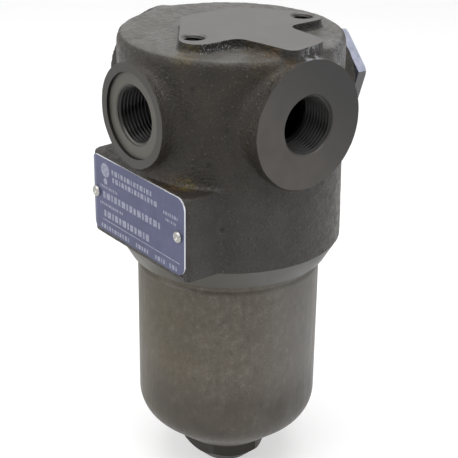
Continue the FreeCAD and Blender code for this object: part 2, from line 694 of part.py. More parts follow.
hub_ring = rod(HUB_BORE_R + CAP_RING_DEPTH - RUN, hub_ring_low, hub_ring_high).cut(
    rod(SPIGOT_R + RUN, hub_ring_low, hub_ring_high)
)
hub_ring = hub_ring.makeFillet(0.9, [e for e in hub_ring.Edges if e.Closed])
save(hub_ring, "element_o_ring")
bottom_cap = turned([
    (0, ELEMENT_LOW),
    (ELEMENT_R - 1, ELEMENT_LOW),
    (ELEMENT_R, ELEMENT_LOW + 1),
    (ELEMENT_R, PACK_LOW + CAP_SKIRT),
    (ELEMENT_R - CAP_WALL, PACK_LOW + CAP_SKIRT),
    (ELEMENT_R - CAP_WALL, PACK_LOW),
    (0, PACK_LOW),
])
save(bottom_cap, "element_bottom_cap")
core = rod(CORE_R, PACK_LOW, PACK_HIGH).cut(rod(CORE_BORE_R, PACK_LOW, PACK_HIGH))
row_step = (PACK_HIGH - PACK_LOW) / CORE_ROWS
for row in range(CORE_ROWS):
    level = PACK_LOW + row_step * (row + 0.5)
    for column in range(CORE_COLUMNS // 2):
        angle = math.radians(360 / CORE_COLUMNS * (column + row % 2 / 2))
        way = V(math.cos(angle), math.sin(angle), 0)
        core = core.cut(rod(CORE_HOLE_R, -CORE_R - 1, CORE_R + 1, V(0, 0, level), way))
save(core, "element_core_tube")
fold = math.pi / PLEATS
outer_folds = []
inner_folds = []
for k in range(2 * PLEATS):
    way = V(math.cos(fold * k), math.sin(fold * k), 0)
    radius = PLEAT_OUT_R if k % 2 else PLEAT_IN_R + 2 * SHEET
    inner_radius = PLEAT_OUT_R - 2 * SHEET if k % 2 else PLEAT_IN_R
    outer_folds.append(way * radius + Z * PACK_LOW)
    inner_folds.append(way * inner_radius + Z * PACK_LOW)
pack_height = Z * (PACK_HIGH - PACK_LOW)
pack = Part.Face(Part.makePolygon(outer_folds + outer_folds[:1])).extrude(pack_height)
pack = pack.cut(Part.Face(Part.makePolygon(inner_folds + inner_folds[:1])).extrude(pack_height))
save(pack, "element_pleat_pack")
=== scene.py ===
import math
import bmesh
import bpy
from mathutils import Matrix, Vector, noise


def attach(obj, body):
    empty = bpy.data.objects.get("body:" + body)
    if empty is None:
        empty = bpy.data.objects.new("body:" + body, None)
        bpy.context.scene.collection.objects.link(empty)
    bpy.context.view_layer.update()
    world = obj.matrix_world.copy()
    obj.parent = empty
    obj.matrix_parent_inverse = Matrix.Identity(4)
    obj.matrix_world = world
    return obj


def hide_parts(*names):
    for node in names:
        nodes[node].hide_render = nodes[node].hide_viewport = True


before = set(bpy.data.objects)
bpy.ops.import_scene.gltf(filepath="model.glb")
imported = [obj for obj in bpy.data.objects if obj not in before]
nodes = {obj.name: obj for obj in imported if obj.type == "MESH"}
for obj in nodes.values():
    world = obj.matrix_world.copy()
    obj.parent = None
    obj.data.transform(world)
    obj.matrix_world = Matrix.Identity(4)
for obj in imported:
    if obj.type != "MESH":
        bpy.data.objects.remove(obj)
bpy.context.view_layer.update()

# Head casting.
# An iron casting: a round body with four bosses, a block for the plate and a raised pad on top.
# It is poured in a sand mould, blasted, and darkened by a surface treatment.
MM = 0.001
PORT_Z = 185.0
SHELF = 214.0
PAD_TOP = 218.2
HEAD_BASE = 111.5
UPRIGHT = (0, 0, 1)


def add_object(name, mesh, material=None):
    piece = bpy.data.objects.new(name, mesh)
    bpy.context.scene.collection.objects.link(piece)
    if material:
        mesh.materials.append(material)
    return piece


def closed_mesh(name, points, faces, material=None):
    mesh = bpy.data.meshes.new(name)
    mesh.from_pydata([Vector(p) * MM for p in points], [], faces)
    mesh.validate()
    mesh.update()
    body = bmesh.new()
    body.from_mesh(mesh)
    bmesh.ops.recalc_face_normals(body, faces=body.faces)
    body.to_mesh(mesh)
    body.free()
    return add_object(name, mesh, material)


def turned(name, outline, material=None, along=UPRIGHT, level=0.0, steps=128):
    """A lathe-turned solid from (radius, distance) points in mm; off the axis they make a ring."""
    turn = Vector(UPRIGHT).rotation_difference(Vector(along)).to_matrix()
    points = []
    rings = []
    for radius, distance in outline:
        count = steps if radius > 0 else 1
        ring = []
        for k in range(count):
            angle = 2 * math.pi * k / steps
            spot = turn @ Vector((radius * math.cos(angle), radius * math.sin(angle), distance))
            ring.append(len(points))
            points.append(spot + Vector((0, 0, level)))
        rings.append(ring)
    faces = []
    if outline[0][0] > 0:
        rings.append(rings[0])
    for low, high in zip(rings, rings[1:]):
        for k in range(steps):
            ahead = k + 1
            quad = [low[k % len(low)], low[ahead % len(low)], high[ahead % len(high)], high[k % len(high)]]
            faces.append(list(dict.fromkeys(quad)))
    return closed_mesh(name, points, [f for f in faces if len(f) > 2], material)


def round_bar(name, radius, start, end, material=None, along=UPRIGHT, level=0.0, steps=128):
    outline = [(0, start), (radius, start), (radius, end), (0, end)]
    return turned(name, outline, material, along, level, steps)


def prism(name, outline, low, high, material=None):
    """A plate or block with straight sides, from (x, y) corners in mm."""
    count = len(outline)
    points = [(x, y, z) for z in (low, high) for x, y in outline]
    faces = [list(range(count))[::-1], list(range(count, 2 * count))]
    faces += [[k, (k + 1) % count, count + (k + 1) % count, count + k] for k in range(count)]
    return closed_mesh(name, points, faces, material)


def block(name, low, high, material=None):
    (x0, y0, z0), (x1, y1, z1) = low, high
    return prism(name, [(x0, y0), (x1, y0), (x1, y1), (x0, y1)], z0, z1, material)


def apply_modifiers(piece):
    shaped = bpy.data.meshes.new_from_object(piece.evaluated_get(bpy.context.evaluated_depsgraph_get()))
    piece.modifiers.clear()
    piece.data = shaped


def join(name, pieces):
    """One object holding the meshes of several pieces, which go."""
    body = bmesh.new()
    for piece in pieces:
        body.from_mesh(piece.data)
    mesh = bpy.data.meshes.new(name)
    body.to_mesh(mesh)
    body.free()
    for piece in pieces:
        bpy.data.objects.remove(piece)
    return add_object(name, mesh)


def cut(piece, tools, operation="DIFFERENCE"):
    """Machine a piece with each tool in turn; a cut face keeps its tool's finish."""
    for tool in tools:
        step = piece.modifiers.new("cut", "BOOLEAN")
        step.operation = operation
        step.solver = "MANIFOLD"
        step.material_mode = "TRANSFER"
        step.object = tool
        apply_modifiers(piece)
        bpy.data.objects.remove(tool)


def mould(piece, voxel, passes):
    """Turn joined shapes into one skin with soft corners, as a pattern maker's fillets give."""
    skin = piece.modifiers.new("skin", "REMESH")
    skin.mode = "VOXEL"
    skin.voxel_size = voxel * MM
    soften = piece.modifiers.new("soften", "SMOOTH")
    soften.factor = 0.5
    soften.iterations = passes
    apply_modifiers(piece)


def shade(piece, angle):
    piece.data.shade_smooth()
    piece.data.set_sharp_from_angle(angle=math.radians(angle))


CORNER_STEPS = 8


def rounded(corners):
    """(x, y) points round a flat outline, from (x, y, corner radius) in mm."""
    points = []
    for k, (x, y, radius) in enumerate(corners):
        corner = Vector((x, y))
        back = (Vector(corners[k - 1][:2]) - corner).normalized()
        ahead = (Vector(corners[(k + 1) % len(corners)][:2]) - corner).normalized()
        half = back.angle(ahead) / 2
        centre = corner + (back + ahead).normalized() * (radius / math.sin(half))
        first = corner + back * (radius / math.tan(half)) - centre
        last = corner + ahead * (radius / math.tan(half)) - centre
        sweep = first.angle_signed(last)
        for step in range(CORNER_STEPS + 1):
            turn = Matrix.Rotation(-sweep * step / CORNER_STEPS, 2)
            points.append(tuple(centre + turn @ first))
    return points


def new_finish(name, colour, roughness, metallic=0.0):
    """A material with its shader's plain values set; gives its node tree and shader too."""
    finish = bpy.data.materials.new(name)
    finish.use_nodes = True
    shader = finish.node_tree.nodes["Principled BSDF"]
    shader.inputs["Base Color"].default_value = (*colour, 1)
    shader.inputs["Roughness"].default_value = roughness
    shader.inputs["Metallic"].default_value = metallic
    return finish, finish.node_tree, shader


def millimetres(tree, stretch=(1, 1, 1), place=(0, 0, 0)):
    """The piece's own coordinates in mm, stretched where a mark runs one way."""
    spot = tree.nodes.new("ShaderNodeTexCoord")
    scale = tree.nodes.new("ShaderNodeMapping")
    scale.inputs["Scale"].default_value = [1000 * s for s in stretch]
    scale.inputs["Location"].default_value = place
    tree.links.new(spot.outputs["Object"], scale.inputs["Vector"])
    return scale.outputs["Vector"]


def speckle(tree, vector, size, detail=4.0, rough=0.55):
    cloud = tree.nodes.new("ShaderNodeTexNoise")
    cloud.inputs["Scale"].default_value = 1 / size
    cloud.inputs["Detail"].default_value = detail
    cloud.inputs["Roughness"].default_value = rough
    tree.links.new(vector, cloud.inputs["Vector"])
    return cloud.outputs["Fac"]


def tones(tree, value, stops):
    ramp = tree.nodes.new("ShaderNodeValToRGB")
    while len(ramp.color_ramp.elements) < len(stops):
        ramp.color_ramp.elements.new(0.5)
    for element, (place, colour) in zip(ramp.color_ramp.elements, stops):
        element.position = place
        element.color = (*colour, 1)
    tree.links.new(value, ramp.inputs["Fac"])
    return ramp.outputs["Color"]


def blend_colours(tree, share, first, second):
    """The first colour where the share is nought, the second where it is one; values or sockets."""
    mix = tree.nodes.new("ShaderNodeMix")
    mix.data_type = "RGBA"
    for name, value in (("Factor", share), ("A", first), ("B", second)):
        if isinstance(value, tuple):
            mix.inputs[name].default_value = (*value, 1)
        else:
            tree.links.new(value, mix.inputs[name])
    return [o for o in mix.outputs if o.type == "RGBA"][0]


def between(tree, value, low, high, to_low=0.0, to_high=1.0):
    span = tree.nodes.new("ShaderNodeMapRange")
    span.interpolation_type = "SMOOTHSTEP"
    for name, number in (("From Min", low), ("From Max", high), ("To Min", to_low), ("To Max", to_high)):
        span.inputs[name].default_value = number
    tree.links.new(value, span.inputs["Value"])
    return span.outputs["Result"]


def vary_roughness(tree, shader, value, smooth, rough):
    tree.links.new(between(tree, value, 0.3, 0.7, smooth, rough), shader.inputs["Roughness"])


def part_of(tree, vector, axis):
    split = tree.nodes.new("ShaderNodeSeparateXYZ")
    tree.links.new(vector, split.inputs["Vector"])
    return split.outputs[axis]


def times(tree, first, second):
    product = tree.nodes.new("ShaderNodeMath")
    product.operation = "MULTIPLY"
    tree.links.new(first, product.inputs[0])
    tree.links.new(second, product.inputs[1])
    return product.outputs["Value"]


def facing(tree, axis):
    """How far the surface looks one way, from -1 to 1."""
    return part_of(tree, tree.nodes.new("ShaderNodeTexCoord").outputs["Normal"], axis)


def near(tree, vector, place, full, none, share=1.0):
    """A mark's strength round one place in mm: full inside one distance, gone past another."""
    reach = tree.nodes.new("ShaderNodeVectorMath")
    reach.operation = "DISTANCE"
    reach.inputs[1].default_value = place
    tree.links.new(vector, reach.inputs[0])
    return between(tree, reach.outputs["Value"], none, full, 0.0, share)


REARWARD = (0.62, 0.785, 0)


def across(tree, vector, way=REARWARD):
    """How far a spot lies one way from the middle, in mm."""
    measure = tree.nodes.new("ShaderNodeVectorMath")
    measure.operation = "DOT_PRODUCT"
    measure.inputs[1].default_value = way
    tree.links.new(vector, measure.inputs[0])
    return measure.outputs["Value"]


def relief(tree, shader, layers):
    """Bump the surface with (value, height in mm) layers."""
    under = None
    for value, height in layers:
        bump = tree.nodes.new("ShaderNodeBump")
        bump.inputs["Distance"].default_value = height * MM
        tree.links.new(value, bump.inputs["Height"])
        if under:
            tree.links.new(under, bump.inputs["Normal"])
        under = bump.outputs["Normal"]
    tree.links.new(under, shader.inputs["Normal"])


def cast_skin():
    finish, tree, shader = new_finish("cast_skin", (0.02, 0.018, 0.015), 0.42)
    shader.inputs["Specular IOR Level"].default_value = 0.34
    here = millimetres(tree)
    patches = speckle(tree, here, 14.0, 5.0, 0.6)
    sand = speckle(tree, here, 0.8, 3.0, 0.6)
    lumps = speckle(tree, here, 2.6, 3.0)
    upper = tones(tree, patches, [
        (0.30, (0.0090, 0.0065, 0.0035)),
        (0.50, (0.0145, 0.0108, 0.0064)),
        (0.70, (0.0240, 0.0184, 0.0110)),
    ])
    lower = tones(tree, patches, [
        (0.30, (0.025, 0.021, 0.019)),
        (0.50, (0.034, 0.030, 0.0275)),
        (0.70, (0.044, 0.040, 0.036)),
    ])
    height = part_of(tree, here, "Z")
    colour = blend_colours(tree, between(tree, height, 176.0, 142.0), upper, lower)
    upward = facing(tree, "Z")
    level = between(tree, upward, 0.80, 0.97)
    top = between(tree, height, SHELF - 1.6, SHELF - 0.4)
    # Painted light: the cast shelf's upward faces are made lighter, as the light from above falls on them.
    shelf_top_light = tones(tree, patches, [(0.35, (0.062, 0.058, 0.052)), (0.65, (0.088, 0.084, 0.077))])
    colour = blend_colours(tree, times(tree, level, top), colour, shelf_top_light)
    worn = between(tree, sand, 0.60, 0.74, 0.0, 0.7)
    colour = blend_colours(tree, worn, colour, (0.13, 0.115, 0.095))
    pits = between(tree, sand, 0.42, 0.30, 0.0, 0.9)
    colour = blend_colours(tree, pits, colour, (0.003, 0.0025, 0.002))
    ledge = times(tree, level, between(tree, height, 164.0, 160.0))
    colour = blend_colours(tree, ledge, colour, (0.019, 0.015, 0.012))
    coarse = speckle(tree, here, 1.1, 2.0)
    # Painted shade: the pad's side walls above the shelf are made darker.
    pad_wall_shade = times(tree, between(tree, height, SHELF + 0.1, SHELF + 0.5), between(tree, upward, 0.9, 0.6))
    colour = blend_colours(tree, pad_wall_shade, colour, (0.010, 0.0085, 0.007))
    glints = between(tree, speckle(tree, here, 0.7, 2.0), 0.56, 0.66)
    glints = times(tree, glints, near(tree, here, (23.8, -28, 215), 5, 13, 0.45))
    glints = times(tree, glints, between(tree, height, SHELF - 0.5, SHELF + 0.3))
    glints = times(tree, glints, between(tree, upward, 0.95, 0.8))
    colour = blend_colours(tree, glints, colour, (0.50, 0.49, 0.52))
    # Tinted patches by place in mm. The ochre one at the ear's foot and the two on the ledge at x 22 and 27
    # are painted highlight, gold on the fillets; the others make the skin darker and browner.
    red_brown = (0.062, 0.038, 0.013)
    ochre = (0.092, 0.067, 0.016)
    dark_brown = (0.033, 0.023, 0.009)
    for place, full, none, share, tint_and_sheen in (
        ((21, -39, 214), 3, 9, 0.45, ochre),
        ((33, -12, 215), 3, 9, 0.9, dark_brown),
        ((42, -10, 215), 2, 7, 0.9, red_brown),
        ((42, -19, 212), 3, 8, 0.8, dark_brown),
        ((48, -14, 207), 2, 8, 0.8, dark_brown),
        ((50, -8, 212), 1, 5, 0.7, red_brown),
        ((22, -46, 160), 2, 7, 0.8, red_brown),
        ((27, -43, 160), 1, 5, 0.8, ochre),
        ((10, -50, 160), 3, 12, 0.6, dark_brown),
    ):
        patch = times(tree, near(tree, here, place, full, none, share), between(tree, coarse, 0.35, 0.60))
        colour = blend_colours(tree, patch, colour, tint_and_sheen)
    # Painted highlight: bright silver patches on the shoulder between the tongue's end and the large boss.
    highlight_breakup = between(tree, speckle(tree, here, 3.0, 6.0, 0.75), 0.46, 0.56)
    shoulder_highlight = times(tree, near(tree, here, (49.5, 1, 214), 2, 9), highlight_breakup)
    colour = blend_colours(tree, shoulder_highlight, colour, (0.24, 0.24, 0.26))
    scraped = times(tree, near(tree, here, (43, 24, 209), 5, 12, 0.8), between(tree, coarse, 0.35, 0.55))
    colour = blend_colours(tree, scraped, colour, (0.13, 0.128, 0.135))
    for place in ((27.7, -41, 202.1), (38.1, -31.5, 185.2), (33.1, -36.8, 169.9), (38.2, -33.5, 141.5)):
        pinhole = near(tree, here, place, 0.7, 1.5, 0.9)
        colour = blend_colours(tree, pinhole, colour, (0.002, 0.002, 0.002))
    tree.links.new(colour, shader.inputs["Base Color"])
    vary_roughness(tree, shader, lumps, 0.34, 0.52)
    relief(tree, shader, [(lumps, 0.5), (coarse, 0.35), (sand, 0.4)])
    return finish


def milled_iron(
    name, colour, roughness, direction=None, level=0.0, far=None, reach=(-32.0, 36.0), way=REARWARD,
):
    """Bare iron from the cutter: turning marks run round one axis, and its tone may change one way,
    painting light and shade across it.
    """
    finish, tree, shader = new_finish(name, colour, roughness, 0.25)
    here = millimetres(tree, place=(0, 0, -level))
    patches = speckle(tree, here, 9.0, 4.0)
    grain = speckle(tree, here, 0.5, 2.0)
    dull = tuple(0.84 * c for c in colour)
    clean = tuple(min(1, 1.12 * c) for c in colour)
    shown = tones(tree, patches, [(0.35, dull), (0.65, clean)])
    if far:
        shown = blend_colours(tree, between(tree, across(tree, here, way), *reach), shown, far)
    tree.links.new(shown, shader.inputs["Base Color"])
    vary_roughness(tree, shader, patches, roughness - 0.05, roughness + 0.08)
    layers = [(grain, 0.012)]
    if direction:
        marks = tree.nodes.new("ShaderNodeTexWave")
        marks.wave_type = "RINGS"
        marks.rings_direction = direction
        marks.inputs["Scale"].default_value = 0.9
        marks.inputs["Distortion"].default_value = 0.4
        tree.links.new(here, marks.inputs["Vector"])
        layers.append((marks.outputs["Fac"], 0.006))
    relief(tree, shader, layers)
    return finish


skin_finish = cast_skin()
# Painted shade: the inlet face is a darker copy of the faced iron, and darkens further toward its top and
# rear.
shaded_face_iron = milled_iron(
    "faced_iron_in_shade", (0.057, 0.050, 0.0445), 0.42, "X", PORT_Z,
    far=(0.022, 0.0215, 0.021), reach=(-20.0, 26.0), way=(0, 0.7, 0.7),
)
face_iron_side = milled_iron("faced_iron_side", (0.076, 0.072, 0.059), 0.42, "Y", PORT_Z)
top_iron = milled_iron("milled_top", (0.104, 0.101, 0.096), 0.5)
rim_iron = milled_iron("faced_rim", (0.036, 0.032, 0.027), 0.45, "Y", PORT_Z)
# Painted shade: the bores, threads, holes, the spotface wall and the head's underside are near black, for
# the shade inside and under them.
bore_shade_iron = milled_iron("bored_iron_shade", (0.005, 0.0045, 0.004), 0.45)
# The cone is darker and browner toward its front left, under the plate block, and paler toward its rear
# right: partly dirt, partly painted shade and light.
cone_iron = milled_iron("turned_cone", (0.060, 0.053, 0.036), 0.42, "Z", far=(0.115, 0.113, 0.110))

BARREL_R = 49.8
BARREL_LOW = 138
LARGE_BOSS_R = 27.9
SMALL_BOSS_R = 22.7
REAR_BOSS_R = 22.5
OUT_LARGE = (1, 0, 0)
OUT_SMALL = (0, -1, 0)
OUT_REAR = (0, 1, 0)
OUT_BLIND = (-1, 0, 0)
INLET_FACE = 52.8
OUTLET_FACE = 52.8
REAR_FACE = 54.2
BLIND_FACE = 54.7
MOULD_STOCK = 7.0
FACING_STOCK = 1.5

# Cutters reach to these distances, clear of the casting.
PAST = 90
BESIDE = 60
UNDER = 100
OVER = 260
BELOW = 80

upper_body = join("upper_body", [
    round_bar("barrel", BARREL_R, BARREL_LOW, SHELF),
    round_bar("large_boss", LARGE_BOSS_R, 0, INLET_FACE + MOULD_STOCK, along=OUT_LARGE, level=PORT_Z),
    round_bar("small_boss", SMALL_BOSS_R, 0, OUTLET_FACE + MOULD_STOCK, along=OUT_SMALL, level=PORT_Z),
    round_bar("rear_boss", REAR_BOSS_R, 0, REAR_FACE + MOULD_STOCK, along=OUT_REAR, level=PORT_Z),
    round_bar("blind_boss", LARGE_BOSS_R, 0, BLIND_FACE + MOULD_STOCK, along=OUT_BLIND, level=PORT_Z),
])
mould(upper_body, voxel=1.4, passes=16)
cut(upper_body, [
    block("large_boss_slice", (INLET_FACE + FACING_STOCK, -BESIDE, UNDER), (PAST, BESIDE, OVER)),
    block("small_boss_slice", (-BESIDE, -PAST, UNDER), (BESIDE, -OUTLET_FACE - FACING_STOCK, OVER)),
    block("rear_boss_slice", (-BESIDE, REAR_FACE + FACING_STOCK, UNDER), (BESIDE, PAST, OVER)),
    block("blind_boss_slice", (-PAST, -BESIDE, UNDER), (-BLIND_FACE, BESIDE, OVER)),
])

BLOCK_HALF = 37.6
BLOCK_FACE = 51.0
BLOCK_LOW = 121.3
LEDGE = 158.9
BLOCK_STOCK = 0.25
BLOCK_FOOT_STOCK = 2
LEFT_CORNER = 7.5
RIGHT_CORNER = 2.5
BURIED_CORNER = 1.5
LOWER_R = 51.1
LOWER_START = 108
LOWER_END = 166
TAPER_BEND = (50.4, 156)
TAPER_END_R = 49.5
lower_body = turned("lower_body", [
    (0, LOWER_START), (LOWER_R, LOWER_START), (LOWER_R, BLOCK_LOW), TAPER_BEND,
    (TAPER_END_R, LOWER_END), (0, LOWER_END),
])
plate_block = prism("plate_block", rounded([
    (-BLOCK_HALF, -BLOCK_FACE - BLOCK_STOCK, LEFT_CORNER),
    (BLOCK_HALF, -BLOCK_FACE - BLOCK_STOCK, RIGHT_CORNER),
    (BLOCK_HALF, 0, BURIED_CORNER),
    (-BLOCK_HALF, 0, BURIED_CORNER),
]), BLOCK_LOW - BLOCK_FOOT_STOCK, LEDGE)
NEAR_SIDE = 24.2
FAR_SIDE = 22.2
PAD_BACK = -16.0
PAD_BACK_HALF = 15.5
EAR_SLOPE = 0.762
EAR_CORNER = 8
BACK_CORNER = 4
TONGUE_NEAR = -15
TONGUE_FAR = 12.7
TONGUE_TIP_NEAR = (52.8, -9.5, 4)
TONGUE_TIP_FAR = (48.3, TONGUE_FAR, 7.5)
INNER_CORNER_NEAR = 6
INNER_CORNER_FAR = 5
PAD_ROOT = 200
pad = prism("pad", rounded([
    (NEAR_SIDE, -PAD_BACK_HALF - EAR_SLOPE * (NEAR_SIDE - PAD_BACK), EAR_CORNER),
    (NEAR_SIDE, TONGUE_NEAR, INNER_CORNER_NEAR),
    TONGUE_TIP_NEAR,
    TONGUE_TIP_FAR,
    (FAR_SIDE, TONGUE_FAR, INNER_CORNER_FAR),
    (FAR_SIDE, PAD_BACK_HALF + EAR_SLOPE * (FAR_SIDE - PAD_BACK), EAR_CORNER),
    (PAD_BACK, PAD_BACK_HALF, BACK_CORNER),
    (PAD_BACK, -PAD_BACK_HALF, BACK_CORNER),
]), PAD_ROOT, PAD_TOP + FACING_STOCK)
casting = join("head_casting", [upper_body, lower_body, plate_block, pad])
mould(casting, voxel=0.8, passes=5)
SAND_WAVES = ((9.0, 0.22), (3.1, 0.10))


def cast_waves(piece):
    """The slight waves and dimples that the sand leaves, by their spacing and height in mm."""
    moves = []
    for vertex in piece.data.vertices:
        spot = vertex.co / MM
        wave = sum(noise.noise(spot / spacing) * height for spacing, height in SAND_WAVES)
        moves.append(vertex.co + vertex.normal * wave * MM)
    for vertex, place in zip(piece.data.vertices, moves):
        vertex.co = place


cast_waves(casting)
casting.data.materials.append(skin_finish)
bend_x = LEFT_CORNER - BLOCK_HALF
bend_y = LEFT_CORNER - BLOCK_FACE


def on_corner(radius, turn):
    """A point round the block's left corner, at an angle from straight ahead."""
    return bend_x - radius * math.sin(turn), bend_y - radius * math.cos(turn)


SEAT_RIGHT = 37.0
SEAT_LOW = 123.1
SEAT_OVERRUN = 2
SEAT_BEND_STEPS = 8
SEAT_BEND = 0.08
SEAT_CLEAR = 6
seat_outline = [
    (SEAT_RIGHT, -BESIDE),
    (SEAT_RIGHT, -BLOCK_FACE),
    *[on_corner(LEFT_CORNER, SEAT_BEND * k) for k in range(SEAT_BEND_STEPS + 1)],
    on_corner(LEFT_CORNER + SEAT_CLEAR, SEAT_BEND * SEAT_BEND_STEPS),
]
CONE_START = (44.5, 109.75)
cut(casting, [
    block("pad_mill", (-PAST, -PAST, PAD_TOP), (PAST, PAST, OVER), top_iron),
    block("inlet_facing", (INLET_FACE, -BESIDE, UNDER), (PAST, BESIDE, OVER), shaded_face_iron),
    block("outlet_facing", (-BESIDE, -PAST, UNDER), (BESIDE, -OUTLET_FACE, OVER), rim_iron),
    block("rear_facing", (-BESIDE, REAR_FACE, UNDER), (BESIDE, PAST, OVER), face_iron_side),
    prism("plate_seat", seat_outline, SEAT_LOW, LEDGE + SEAT_OVERRUN, skin_finish),
    turned("base_cone", [(PAST, BELOW), CONE_START, (LOWER_R, BLOCK_LOW), (PAST, BLOCK_LOW)], cone_iron),
    block("base_facing", (-PAST, -PAST, BELOW), (PAST, PAST, HEAD_BASE), bore_shade_iron),
])
ROWS_PER_TURN = 8
FLANK_SLOPE = 1.35
ROOT_SHARE = 0.175


def threaded_plug(
    name, minor, major, pitch, start, end, material, along=UPRIGHT, level=0.0, shift=(0, 0, 0), steps=72,
):
    """A tap's shape: a helical thread between two distances along its axis, flat at crest and root."""
    turn = Vector(UPRIGHT).rotation_difference(Vector(along)).to_matrix()
    rows = int(round((end - start) / pitch * ROWS_PER_TURN))
    points = []
    faces = []
    for row in range(rows + 1):
        distance = start + (end - start) * row / rows
        for k in range(steps):
            angle = 2 * math.pi * k / steps
            phase = (distance / pitch - k / steps) % 1
            flank = min(1, max(0, FLANK_SLOPE * (1 - abs(2 * phase - 1)) - ROOT_SHARE))
            radius = minor + (major - minor) * flank
            spot = turn @ Vector((radius * math.cos(angle), radius * math.sin(angle), distance))
            points.append(spot + Vector((0, 0, level)) + Vector(shift))
    for row in range(rows):
        for k in range(steps):
            a, b = row * steps + k, row * steps + (k + 1) % steps
            faces += [[a, b, b + steps], [a, b + steps, a + steps]]
    for first, distance in ((0, start), (rows * steps, end)):
        hub = len(points)
        points.append(turn @ Vector((0, 0, distance)) + Vector((0, 0, level)) + Vector(shift))
        faces += [[hub, first + k, first + (k + 1) % steps] for k in range(steps)]
    return closed_mesh(name, points, faces, material)


CHAMBER_R = 36.0
CROWN_R = 12.0
CROWN_STEPS = 10
CEILING = 205.5
CHAMBER_LOW = 141.0
BORE_MOUTH_R = 40.1
BORE_CHAMFER = 0.6
BORE_THREAD_R = 39.5
BORE_THREAD_END = 128.5
BORE_LEAD_R = 37.8
BORE_LEAD_END = 129.3
BORE_NOSE_R = 37.0
crown = [
    (CHAMBER_R - CROWN_R + CROWN_R * math.cos(a), CEILING - CROWN_R + CROWN_R * math.sin(a))
    for a in (math.radians(90 * k / CROWN_STEPS) for k in range(CROWN_STEPS + 1))
]
chamber = turned("chamber", [
    (0, UNDER), (BORE_MOUTH_R, UNDER), (BORE_MOUTH_R, HEAD_BASE),
    (BORE_THREAD_R, HEAD_BASE + BORE_CHAMFER), (BORE_THREAD_R, BORE_THREAD_END),
    (BORE_LEAD_R, BORE_THREAD_END), (BORE_NOSE_R, BORE_LEAD_END), (BORE_NOSE_R, CHAMBER_LOW),
    (CHAMBER_R, CHAMBER_LOW), *crown, (0, CEILING),
], bore_shade_iron)
SPIGOT_R = 15.0
SPIGOT_END = 150.0
SPIGOT_TOP = 161.5
SPIGOT_CHAMFER = 1
RISER_R = 17.0
RISER_TOP = 201.0
OUTLET_DUCT_R = 15.0
SENSING_DUCT_R = 6.5
DUCT_END = 44
cut(chamber, [
    turned("riser", [
        (0, SPIGOT_END), (SPIGOT_R - SPIGOT_CHAMFER, SPIGOT_END),
        (SPIGOT_R, SPIGOT_END + SPIGOT_CHAMFER), (SPIGOT_R, SPIGOT_TOP),
        (RISER_R, SPIGOT_TOP), (RISER_R, RISER_TOP), (0, RISER_TOP),
    ], bore_shade_iron),
    round_bar("outlet_duct", OUTLET_DUCT_R, 0, DUCT_END, bore_shade_iron, OUT_SMALL, PORT_Z),
    round_bar("sensing_duct", SENSING_DUCT_R, 0, DUCT_END, bore_shade_iron, OUT_REAR, PORT_Z),
])
HOLE_X = 12.6
HOLE_HALF = 29.5
HOLE_R = 4.25
HOLE_THREAD_R = 4.95
HOLE_PITCH = 1.5
HOLE_DEPTH = 12
HOLE_OVERRUN = 2
SINK_R = 5.6
SINK_DEPTH = 1.35
SINK_OVERRUN = 0.2
PORT_MINOR_R = 12.06
PORT_MAJOR_R = 13.22
PORT_PITCH = 1.814
PORT_CHAMFER_R = 13.46
PORT_OVERRUN = 0.14
INLET_THREAD_END = 36.8
OUTLET_THREAD_END = 35.5
OFF_FACE = 56
SPOTFACE = 51.5
SPOTFACE_R = 18.8
SPOTFACE_FLAT_R = 18.6
SPOTFACE_SKIM = 0.02
PIN_LEVEL = 140.9
PIN_MIDDLE = 0.8
PIN_HALF = 31.1
PIN_HOLE_R = 1.2
PIN_HOLE_END = 45
thread_tools = [
    threaded_plug(
        "inlet_tap", PORT_MINOR_R, PORT_MAJOR_R, PORT_PITCH, INLET_THREAD_END, OFF_FACE,
        bore_shade_iron, OUT_LARGE, PORT_Z, steps=96,
    ),
    threaded_plug(
        "outlet_tap", PORT_MINOR_R, PORT_MAJOR_R, PORT_PITCH, OUTLET_THREAD_END, OFF_FACE,
        bore_shade_iron, OUT_SMALL, PORT_Z, steps=96,
    ),
]
for side in (-1, 1):
    thread_tools.append(threaded_plug(
        "fixing_tap", HOLE_R, HOLE_THREAD_R, HOLE_PITCH, PAD_TOP - HOLE_DEPTH,
        PAD_TOP + HOLE_OVERRUN, bore_shade_iron, shift=(HOLE_X, side * HOLE_HALF, 0), steps=48,
    ))
    countersink = turned("countersink", [
        (0, PAD_TOP - SINK_DEPTH), (HOLE_R, PAD_TOP - SINK_DEPTH), (SINK_R, PAD_TOP),
        (SINK_R + SINK_OVERRUN, PAD_TOP + SINK_OVERRUN), (0, PAD_TOP + SINK_OVERRUN),
    ], top_iron, steps=64)
    countersink.data.transform(Matrix.Translation(Vector((HOLE_X, side * HOLE_HALF, 0)) * MM))
    thread_tools.append(countersink)
    pin_hole = round_bar(
        "pin_hole", PIN_HOLE_R, PIN_HOLE_END, OFF_FACE, bore_shade_iron, OUT_SMALL, PIN_LEVEL, steps=24,
    )
    pin_hole.data.transform(Matrix.Translation(Vector((PIN_MIDDLE + side * PIN_HALF, 0, 0)) * MM))
    thread_tools.append(pin_hole)


def port_lead(name, face, material, along):
    """The chamfer that leads a fitting into a port's thread, from the face inwards."""
    depth = PORT_CHAMFER_R - PORT_MINOR_R
    return turned(name, [
        (0, face - depth), (PORT_MINOR_R, face - depth), (PORT_CHAMFER_R, face),
        (PORT_CHAMFER_R + PORT_OVERRUN, face + PORT_OVERRUN), (0, face + PORT_OVERRUN),
    ], material, along, PORT_Z)


